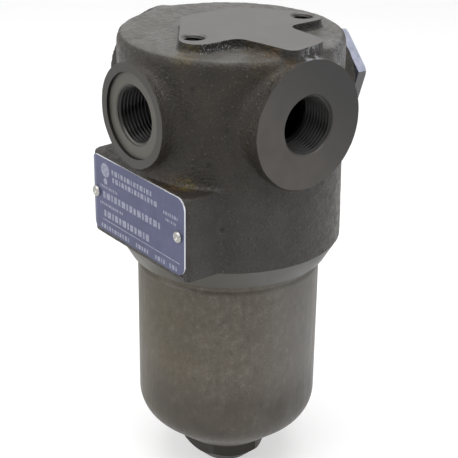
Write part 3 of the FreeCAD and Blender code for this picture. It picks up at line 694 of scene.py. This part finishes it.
RISER_BORE_R = 12.0
RISER_BORE_LOW = 149
RISER_BORE_END = 194.5
CLIP_GROOVE_R = 12.75
CLIP_LOW = 162.7
CLIP_HIGH = 164.0
VALVE_BORE_R = 11.5
VALVE_BORE_LOW = 195.0
VALVE_STOP = 199.5
LIP_R = 8.5
LIP_END = 203
INLET_DRILL_R = 11.0
INLET_DRILL = (30, 38)
OUTLET_DRILL_R = 9.0
OUTLET_DRILL = (0, 37)
SENSING_BORE_R = 3.0
SENSING_BORE_END = 5
NOSE_BORE_R = 5.5
NOSE_BORE_END = 35.5
PLUG_BORE_R = 10.5
PLUG_BORE_END = 41.5
cut(casting, [
    chamber,
    turned("riser_bore", [
        (0, RISER_BORE_LOW), (RISER_BORE_R, RISER_BORE_LOW), (RISER_BORE_R, CLIP_LOW),
        (CLIP_GROOVE_R, CLIP_LOW), (CLIP_GROOVE_R, CLIP_HIGH), (RISER_BORE_R, CLIP_HIGH),
        (RISER_BORE_R, RISER_BORE_END), (VALVE_BORE_R, VALVE_BORE_LOW), (VALVE_BORE_R, VALVE_STOP),
        (LIP_R, VALVE_STOP), (LIP_R, LIP_END), (0, LIP_END),
    ], bore_shade_iron),
    # Painted shade: the spotface's wall takes the near-black bore finish.
    round_bar(
        "spotface_wall", SPOTFACE_R, SPOTFACE + SPOTFACE_SKIM, BESIDE, bore_shade_iron, OUT_SMALL, PORT_Z,
    ),
    round_bar("spotface", SPOTFACE_FLAT_R, SPOTFACE, BESIDE, face_iron_side, OUT_SMALL, PORT_Z),
    port_lead("inlet_lead", INLET_FACE, shaded_face_iron, OUT_LARGE),
    port_lead("outlet_lead", SPOTFACE, face_iron_side, OUT_SMALL),
    round_bar("inlet_drill", INLET_DRILL_R, *INLET_DRILL, bore_shade_iron, OUT_LARGE, PORT_Z),
    round_bar("outlet_drill", OUTLET_DRILL_R, *OUTLET_DRILL, bore_shade_iron, OUT_SMALL, PORT_Z),
    turned("rear_bore", [
        (0, SENSING_BORE_END), (SENSING_BORE_R, SENSING_BORE_END), (SENSING_BORE_R, NOSE_BORE_END),
        (NOSE_BORE_R, NOSE_BORE_END), (NOSE_BORE_R, PLUG_BORE_END), (PLUG_BORE_R, PLUG_BORE_END),
        (PLUG_BORE_R, BESIDE), (0, BESIDE),
    ], bore_shade_iron, OUT_REAR, PORT_Z),
    *thread_tools,
])
shade(casting, angle=38)
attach(casting, "head")
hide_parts("filter_head")

# Bypass valve.
# Machined steel seat, disc, spoked retainer and spring-steel ring, pushed up into the clean-oil bore.
# The spring holds the disc against the seat until the element clogs.


def bright_steel(name, colour, roughness, mark_size):
    """Turned or drawn steel with fine marks round the piece."""
    finish, tree, shader = new_finish(name, colour, roughness, 1.0)
    marks = speckle(tree, millimetres(tree, (0.15, 0.15, 1)), mark_size, 3.0)
    dull = tuple(0.8 * c for c in colour)
    tree.links.new(tones(tree, marks, [(0.3, dull), (0.7, colour)]), shader.inputs["Base Color"])
    vary_roughness(tree, shader, marks, roughness - 0.06, roughness + 0.08)
    relief(tree, shader, [(marks, 0.01)])
    return finish


def dress(node, finish):
    """Give a CAD piece its finish."""
    piece = nodes[node]
    piece.data.materials.clear()
    piece.data.materials.append(finish)


valve_steel = bright_steel("valve_steel", (0.42, 0.42, 0.43), 0.32, 0.5)
spring_steel = bright_steel("spring_steel", (0.25, 0.25, 0.26), 0.35, 0.3)
for node in ("bypass_seat", "bypass_poppet", "bypass_spring_retainer"):
    dress(node, valve_steel)
for node in ("bypass_spring", "bypass_retaining_ring"):
    dress(node, spring_steel)

# Filter element.
# Two pressed end caps glued to one pleated sheet of glass-fibre filter medium round a punched tube.
# It pushes onto the spigot inside the head, where a rubber ring seals it.


def rubber(name):
    finish, tree, shader = new_finish(name, (0.014, 0.014, 0.015), 0.5)
    bloom = speckle(tree, millimetres(tree), 1.5)
    colour = tones(tree, bloom, [(0.3, (0.010, 0.010, 0.011)), (0.7, (0.022, 0.022, 0.023))])
    tree.links.new(colour, shader.inputs["Base Color"])
    vary_roughness(tree, shader, bloom, 0.42, 0.60)
    relief(tree, shader, [(bloom, 0.02)])
    return finish


def filter_medium():
    finish, tree, shader = new_finish("filter_medium", (0.68, 0.65, 0.56), 0.85)
    fibres = speckle(tree, millimetres(tree, (1, 1, 0.12)), 0.3, 5.0)
    colour = tones(tree, fibres, [(0.3, (0.55, 0.52, 0.43)), (0.7, (0.74, 0.71, 0.62))])
    tree.links.new(colour, shader.inputs["Base Color"])
    relief(tree, shader, [(fibres, 0.08)])
    return finish


seal_rubber = rubber("seal_rubber")
cap_sheet = bright_steel("cap_sheet", (0.60, 0.60, 0.61), 0.38, 0.8)
core_steel = bright_steel("core_steel", (0.55, 0.55, 0.56), 0.35, 0.6)
dress("element_top_cap", cap_sheet)
dress("element_bottom_cap", cap_sheet)
dress("element_core_tube", core_steel)
dress("element_pleat_pack", filter_medium())
dress("element_o_ring", seal_rubber)

# Bowl.
# A thick steel cup turned from bar, with a thread and a seal groove at its mouth and a hexagon foot.
# It is phosphated, which leaves it brown-grey, and it screws up into the head until its shoulder seats.
CONE = math.radians(40)
KNUCKLE = (26.1, 38.5)


def phosphated_steel():
    finish, tree, shader = new_finish("phosphated_steel", (0.09, 0.078, 0.062), 0.42, 0.1)
    here = millimetres(tree)
    clouds = speckle(tree, here, 16.0, 5.0, 0.6)
    drawn = speckle(tree, millimetres(tree, (1, 1, 0.05)), 1.4, 4.0, 0.6)
    fine = speckle(tree, here, 0.5, 3.0)
    colour = tones(tree, clouds, [
        (0.30, (0.077, 0.065, 0.048)),
        (0.52, (0.094, 0.079, 0.059)),
        (0.72, (0.113, 0.097, 0.075)),
    ])
    blotches = speckle(tree, millimetres(tree, (1, 1, 0.75)), 3.2, 5.0, 0.7)
    side = across(tree, here)
    height = part_of(tree, here, "Z")
    for value, start, full, share, tone in (
        (blotches, 0.50, 0.72, 0.7, (0.165, 0.150, 0.125)),
        (blotches, 0.48, 0.30, 0.7, (0.048, 0.040, 0.032)),
        (drawn, 0.54, 0.72, 0.13, (0.19, 0.175, 0.15)),
        (drawn, 0.46, 0.30, 0.18, (0.045, 0.037, 0.030)),
        (fine, 0.60, 0.72, 0.8, (0.24, 0.22, 0.19)),
        # These two side entries make the bowl browner toward its front left and paler grey toward its rear
        # right: partly a real stain, partly painted light.
        (side, 0.0, -38.0, 0.55, (0.050, 0.036, 0.012)),
        (side, 4.0, 38.0, 0.5, (0.155, 0.152, 0.150)),
    ):
        colour = blend_colours(tree, between(tree, value, start, full, 0.0, share), colour, tone)
    low_band = times(tree, between(tree, height, 66.0, 44.0), between(tree, height, 14.0, 30.0))
    low_band = times(tree, low_band, between(tree, clouds, 0.3, 0.7, 0.35, 0.85))
    colour = blend_colours(tree, low_band, colour, (0.034, 0.027, 0.019))
    foot_shade = between(tree, height, 15.9, 14.9, 0.0, 0.9)
    colour = blend_colours(tree, foot_shade, colour, (0.016, 0.012, 0.008))
    tree.links.new(colour, shader.inputs["Base Color"])
    vary_roughness(tree, shader, drawn, 0.38, 0.52)
    relief(tree, shader, [(drawn, 0.03), (fine, 0.02)])
    return finish


bowl_steel = phosphated_steel()


def knuckle(radius, steps):
    """Points round the bowl's lower corner, from the cone to the straight side."""
    centre_r, centre_z = KNUCKLE
    sweep = math.pi / 2 - CONE
    return [
        (centre_r + radius * math.cos(a), centre_z - radius * math.sin(a))
        for a in (sweep * (1 - k / steps) for k in range(steps + 1))
    ]


CUP_START = 8.0
CUP_ROOT_R = 17.8
CUP_ROOT_END = 10.8
BOWL_R = 42.1
SIDE_END = 105.3
SHOULDER_EDGE = (41.9, 105.8)
NECK_R = 41.0
NECK_LOW = 107.0
NECK_TOP = 111.4
UNDERCUT_R = 38.2
UNDERCUT_LOW = 111.5
UNDERCUT_TOP = 113.3
THREAD_ROOT_R = 38.3
THREAD_CREST_R = 39.45
THREAD_LOW = 113.2
THREAD_TOP = 127.4
NOSE_R = 36.95
NOSE_LOW = 127.6
NOSE_TOP = 139.0
NOSE_CHAMFER = 1
GROOVE_R = 34.15
GROOVE_LOW = 131.0
GROOVE_TOP = 136.5
CUP_FLOOR = 19.2
CUP_FLOOR_R = 11.1
BOWL_BORE_R = 31.1
LIP_START = 137.0
MOUTH = 140.0
MOUTH_R = 34.1
MOUTH_OVERRUN = (34.2, 140.5)
MOUTH_TOOL_LOW = 60
bowl = turned("bowl_cup", [
    (0, CUP_START), (CUP_ROOT_R, CUP_START), (CUP_ROOT_R, CUP_ROOT_END),
    *knuckle(radius=16.0, steps=14), (BOWL_R, SIDE_END), SHOULDER_EDGE, (NECK_R, NECK_LOW),
    (NECK_R, NECK_TOP), (UNDERCUT_R, UNDERCUT_LOW), (UNDERCUT_R, UNDERCUT_TOP),
    (THREAD_ROOT_R, NOSE_LOW), (NOSE_R, NOSE_LOW), (NOSE_R, GROOVE_LOW), (GROOVE_R, GROOVE_LOW),
    (GROOVE_R, GROOVE_TOP), (NOSE_R, GROOVE_TOP), (NOSE_R, NOSE_TOP),
    (NOSE_R - NOSE_CHAMFER, MOUTH), (0, MOUTH),
], bowl_steel, steps=192)
cut(bowl, [turned("bowl_inside", [
    (0, CUP_FLOOR), (CUP_FLOOR_R, CUP_FLOOR), *knuckle(radius=5.0, steps=8),
    (BOWL_BORE_R, LIP_START), (MOUTH_R, MOUTH), MOUTH_OVERRUN, (0, MOUTH_OVERRUN[1]),
], bowl_steel)])
# Painted shade: the hexagon foot is a darker copy of the bowl's steel, for the shade low down by the floor.
foot_shade_steel = milled_iron("foot_shade_steel", (0.017, 0.013, 0.009), 0.5)
FOOT_AF = 36.0
FOOT_TURN = 5.5
FOOT_END_R = 12.0
FOOT_BEVEL = 8.4
FOOT_TOP = 13.0
FOOT_BLANK = (-1, 13.5)
TURNING_CLEAR = 1
hex_r = FOOT_AF / math.sqrt(3)
foot = prism("foot", [
    (hex_r * math.cos(a), hex_r * math.sin(a)) for a in (math.radians(FOOT_TURN + 60 * k) for k in range(6))
], *FOOT_BLANK, foot_shade_steel)
cut(foot, [turned("foot_turning", [
    (0, 0), (FOOT_END_R, 0), (hex_r, FOOT_BEVEL), (hex_r + TURNING_CLEAR, FOOT_BEVEL),
    (hex_r + TURNING_CLEAR, FOOT_TOP), (0, FOOT_TOP),
], foot_shade_steel)], "INTERSECT")
cut(bowl, [foot], "UNION")
BOWL_PITCH = 2.0
cut(bowl, [threaded_plug(
    "bowl_thread", THREAD_ROOT_R, THREAD_CREST_R, BOWL_PITCH, THREAD_LOW, THREAD_TOP, bowl_steel,
    steps=128,
)], "UNION")
cut(bowl, [round_bar("bowl_mouth", BOWL_BORE_R, MOUTH_TOOL_LOW, LIP_START, bowl_steel)])
shade(bowl, angle=30)
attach(bowl, "bowl")
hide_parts("bowl")

# Bowl seals.
# A rubber ring and a hard plastic backup ring below it, stretched into the groove in the bowl's nose.
backup_plastic, backup_tree, backup_shader = new_finish("backup_plastic", (0.78, 0.77, 0.72), 0.4)
backup_tree.links.new(
    tones(backup_tree, speckle(backup_tree, millimetres(backup_tree), 3.0),
          [(0.3, (0.70, 0.69, 0.64)), (0.7, (0.82, 0.81, 0.76))]),
    backup_shader.inputs["Base Color"],
)
dress("bowl_o_ring", seal_rubber)
dress("bowl_backup_ring", backup_plastic)

# Rear plug.
# A zinc-plated hexagon plug with a collar, screwed against a rubber ring in the rear port.
# It closes the place where a clogging indicator would go.


def zinc_plate():
    finish, tree, shader = new_finish("zinc_plate", (0.66, 0.69, 0.76), 0.3, 0.6)
    here = millimetres(tree)
    cloud = speckle(tree, here, 4.0, 4.0)
    scuff = speckle(tree, here, 0.4, 2.0)
    colour = tones(tree, cloud, [
        (0.30, (0.29, 0.31, 0.39)),
        (0.55, (0.35, 0.37, 0.46)),
        (0.75, (0.42, 0.43, 0.50)),
    ])
    # Painted shade: the plug's downward faces are made dark.
    underside_shade = between(tree, facing(tree, "Z"), 0.1, -0.15, 0.0, 0.9)
    colour = blend_colours(tree, underside_shade, colour, (0.075, 0.070, 0.064))
    tree.links.new(colour, shader.inputs["Base Color"])
    vary_roughness(tree, shader, cloud, 0.24, 0.40)
    relief(tree, shader, [(scuff, 0.012)])
    return finish


zinc = zinc_plate()
PLUG_AF = 38.0
PLUG_TURN = math.radians(12.2)
PLUG_END = 62.0
PLUG_END_R = 21.0
PLUG_TURNED_R = 23.0
PLUG_BEVEL_START = 60.85
COLLAR_R = 17.5
COLLAR_START = 56.4
COLLAR_END = 57.2
HEXAGON_START = 57.0
HEXAGON_BLANK_END = 62.5
SHANK_R = 10.4
SHANK_START = 42.3
SHANK_CHAMFER = 0.8
PLUG_NOSE_R = 5.42
PLUG_NOSE_START = 36.8
PLUG_NOSE_CHAMFER = 0.5
NOSE_GROOVE_R = 3.8
NOSE_GROOVE_START = 37.9
NOSE_GROOVE_END = 40.2
PLUG_ROOT_R = 9.55
PLUG_CREST_R = 10.38
PLUG_PITCH = 1.5
PLUG_THREAD_START = 41.0
PLUG_DIE_R = 12.0
PLUG_DIE = (41.6, 55.0)
hexagon_r = PLUG_AF / math.sqrt(3)
plug_hexagon = round_bar(
    "plug_hexagon", hexagon_r, HEXAGON_START, HEXAGON_BLANK_END, zinc, OUT_REAR, steps=6,
)
plug_hexagon.data.transform(Matrix.Rotation(-PLUG_TURN, 4, "Y"))
plug_hexagon.data.transform(Matrix.Translation(Vector((0, 0, PORT_Z)) * MM))
cut(plug_hexagon, [turned("plug_facing", [
    (0, OFF_FACE), (PLUG_TURNED_R, OFF_FACE), (PLUG_TURNED_R, PLUG_BEVEL_START),
    (PLUG_END_R, PLUG_END), (0, PLUG_END),
], zinc, OUT_REAR, PORT_Z)], "INTERSECT")
edge = plug_hexagon.modifiers.new("broken_edges", "BEVEL")
edge.width = 0.25 * MM
edge.segments = 2
edge.limit_method = "ANGLE"
edge.angle_limit = math.radians(25)
apply_modifiers(plug_hexagon)
plug = turned("rear_plug", [
    (0, PLUG_NOSE_START), (PLUG_NOSE_R - PLUG_NOSE_CHAMFER, PLUG_NOSE_START),
    (PLUG_NOSE_R, PLUG_NOSE_START + PLUG_NOSE_CHAMFER), (PLUG_NOSE_R, NOSE_GROOVE_START),
    (NOSE_GROOVE_R, NOSE_GROOVE_START), (NOSE_GROOVE_R, NOSE_GROOVE_END),
    (PLUG_NOSE_R, NOSE_GROOVE_END), (PLUG_NOSE_R, SHANK_START), (SHANK_R - SHANK_CHAMFER, SHANK_START),
    (SHANK_R, SHANK_START + SHANK_CHAMFER), (SHANK_R, COLLAR_START), (COLLAR_R, COLLAR_START),
    (COLLAR_R, COLLAR_END), (0, COLLAR_END),
], zinc, OUT_REAR, PORT_Z)
plug_die = round_bar("plug_die", PLUG_DIE_R, *PLUG_DIE, zinc, OUT_REAR, PORT_Z)
cut(plug_die, [threaded_plug(
    "plug_thread", PLUG_ROOT_R, PLUG_CREST_R, PLUG_PITCH, PLUG_THREAD_START, OFF_FACE,
    zinc, OUT_REAR, PORT_Z,
)])
cut(plug, [plug_die])
cut(plug, [plug_hexagon], "UNION")
shade(plug, angle=12)
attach(plug, "plug")
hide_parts("indicator_port_plug")
dress("plug_face_seal", seal_rubber)
dress("plug_nose_o_ring", seal_rubber)

# Data plate.
# Thin aluminium sheet, printed violet-blue with pale blank marks and bare at its edges.
# It is pinned to the block below the small port, and one end bends round the block's corner.
PLATE_FACE = 51.7


def printed_blue():
    finish, tree, shader = new_finish("printed_blue", (0.055, 0.062, 0.135), 0.35, 0.3)
    here = millimetres(tree)
    cloud = speckle(tree, here, 8.0, 4.0)
    scratch = speckle(tree, millimetres(tree, (0.2, 1, 1)), 0.5, 3.0)
    colour = tones(tree, cloud, [(0.3, (0.050, 0.056, 0.122)), (0.7, (0.072, 0.079, 0.160))])
    scratched = between(tree, scratch, 0.66, 0.78, 0.0, 0.4)
    colour = blend_colours(tree, scratched, colour, (0.24, 0.25, 0.32))
    bare_edge = between(tree, facing(tree, "Y"), -0.7, -0.4)
    colour = blend_colours(tree, bare_edge, colour, (0.75, 0.76, 0.80))
    tree.links.new(colour, shader.inputs["Base Color"])
    relief(tree, shader, [(scratch, 0.01)])
    return finish


def pale_print():
    finish, tree, shader = new_finish("pale_print", (0.40, 0.40, 0.46), 0.4, 0.4)
    worn = speckle(tree, millimetres(tree), 1.2, 3.0)
    colour = tones(tree, worn, [(0.3, (0.15, 0.16, 0.24)), (0.6, (0.30, 0.31, 0.38))])
    tree.links.new(colour, shader.inputs["Base Color"])
    return finish


dress("data_plate", printed_blue())
PRINT_DEPTH = 0.03
PRINT_ROOT = 0.05
BAR_WIDTHS = (0.55, 0.9, 0.4, 0.75)
SEAL_X = -23.2


def bar(x, z, width, height):
    """One flat printed mark on the plate, by its left end and lower edge."""
    front = (x, -PLATE_FACE - PRINT_DEPTH, z)
    rear = (x + width, -PLATE_FACE + PRINT_ROOT, z + height)
    return block("mark", front, rear)


# One long rule, then rows of plain bars by first and last x, lower edge, height and gap.
marks = [bar(-25.8, 128.5, 58.9, 0.45)]
for first, last, low, height, gap in (
    (-18.0, 12.6, 152.4, 2.4, 0.9),
    (-17.4, 18.1, 148.9, 2.4, 0.9),
    (21.3, 32.5, 147.9, 1.5, 0.6),
    (22.9, 30.8, 145.2, 1.1, 0.6),
    (-27.4, -13.8, 144.1, 1.3, 0.6),
    (-25.2, 19.8, 139.4, 3.1, 1.0),
    (-27.8, -9.6, 135.8, 1.3, 0.6),
    (-24.8, 11.4, 130.5, 3.1, 1.0),
    (-27.2, -3.5, 124.4, 2.0, 0.8),
    (0.2, 11.3, 124.4, 2.0, 0.8),
    (14.9, 22.3, 124.4, 2.0, 0.8),
    (25.5, 31.4, 124.4, 2.0, 0.8),
):
    place = first
    turn = 0
    while place < last - gap:
        width = min(BAR_WIDTHS[turn % len(BAR_WIDTHS)] * height, last - place)
        marks.append(bar(place, low, width, height))
        place += width + gap
        turn += 1
for level, radius in ((152.9, 3.3), (147.6, 1.5)):
    marks.append(round_bar(
        "blank_seal", radius, PLATE_FACE - PRINT_ROOT, PLATE_FACE + PRINT_DEPTH,
        along=OUT_SMALL, level=level, steps=40,
    ))
    marks[-1].data.transform(Matrix.Translation(Vector((SEAL_X, 0, 0)) * MM))
plate_print = join("plate_print", marks)
plate_print.data.materials.append(pale_print())
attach(plate_print, "head")

# Plate pins.
# Two hollow-headed steel drive pins, hammered into plain holes in the block.
pin_steel = bright_steel("pin_steel", (0.42, 0.41, 0.39), 0.35, 0.4)
for node in ("plate_pin_left", "plate_pin_right"):
    dress(node, pin_steel)

# Studio.
# A pale floor under a white tent, with soft lamps above and on both sides.
# The camera looks down at the corner between the two open ports.
floor_finish, floor_tree, floor_shader = new_finish("floor_paper", (0.55, 0.55, 0.55), 0.9)


def seen_white(tree):
    """One for the rays that see the tent, straight or mirrored; nought for the light it gives."""
    rays = tree.nodes.new("ShaderNodeLightPath")
    seen = rays.outputs["Is Camera Ray"]
    for kind in ("Is Glossy Ray", "Is Transmission Ray"):
        either = tree.nodes.new("ShaderNodeMath")
        either.operation = "MAXIMUM"
        tree.links.new(seen, either.inputs[0])
        tree.links.new(rays.outputs[kind], either.inputs[1])
        seen = either.outputs["Value"]
    return seen


floor_shader.inputs["Emission Color"].default_value = (1, 1, 1, 1)
floor_glow = between(floor_tree, seen_white(floor_tree), 0.0, 1.0, 0.0, 0.5)
floor_tree.links.new(floor_glow, floor_shader.inputs["Emission Strength"])
FLOOR_REACH = 4000
floor = block("floor", (-FLOOR_REACH, -FLOOR_REACH, -1), (FLOOR_REACH, FLOOR_REACH, 0), floor_finish)

world = bpy.data.worlds.new("tent")
bpy.context.scene.world = world
world.use_nodes = True
sky = world.node_tree.nodes["Background"]
sky.inputs["Color"].default_value = (1, 1, 1, 1)
world_tree = world.node_tree
tent_glow = between(world_tree, seen_white(world_tree), 0.0, 1.0, 0.5, 1.0)
world_tree.links.new(tent_glow, sky.inputs["Strength"])


def lamp(name, place, target, size, power):
    light = bpy.data.lights.new(name, "AREA")
    light.shape = "RECTANGLE"
    light.size = size[0]
    light.size_y = size[1]
    light.energy = power
    holder = bpy.data.objects.new(name, light)
    bpy.context.scene.collection.objects.link(holder)
    holder.location = place
    aim = Vector(target) - Vector(place)
    holder.rotation_euler = aim.to_track_quat("-Z", "Y").to_euler()


# Each lamp's place and target in metres, its width and height in metres, and its power in watts.
lamp("top_lamp", (0.1, -0.1, 1.0), (0, 0, 0.15), (0.9, 0.9), 9.0)
lamp("left_lamp", (-0.35, -0.9, 0.55), (0, 0, 0.12), (0.5, 0.8), 3.5)
lamp("right_lamp", (0.85, 0.35, 0.35), (0, 0, 0.12), (0.4, 0.7), 1.3)

TURN = math.radians(51.81)
TILT = math.radians(24.37)
ROLL = 0.01424
VIEW_WIDTH = 458
VIEW_DEPTH = 1284.4
SENSOR_WIDTH = 36.0
CAMERA_PLACE = (425.79, -334.72, 364.37)
back = Vector((math.sin(TURN) * math.cos(TILT), -math.cos(TURN) * math.cos(TILT), math.sin(TILT)))
right = Vector((math.cos(TURN), math.sin(TURN), 0))
up = back.cross(right)
level_right = right * math.cos(ROLL) + up * math.sin(ROLL)
level_up = up * math.cos(ROLL) - right * math.sin(ROLL)
camera_data = bpy.data.cameras.new("camera")
camera_data.sensor_width = SENSOR_WIDTH
camera_data.lens = SENSOR_WIDTH * VIEW_DEPTH / VIEW_WIDTH
camera = bpy.data.objects.new("camera", camera_data)
bpy.context.scene.collection.objects.link(camera)
stand = Matrix((level_right, level_up, back)).transposed().to_4x4()
stand.translation = Vector(CAMERA_PLACE) * MM
camera.matrix_world = stand
bpy.context.scene.camera = camera
bpy.context.scene.view_settings.view_transform = "Standard"
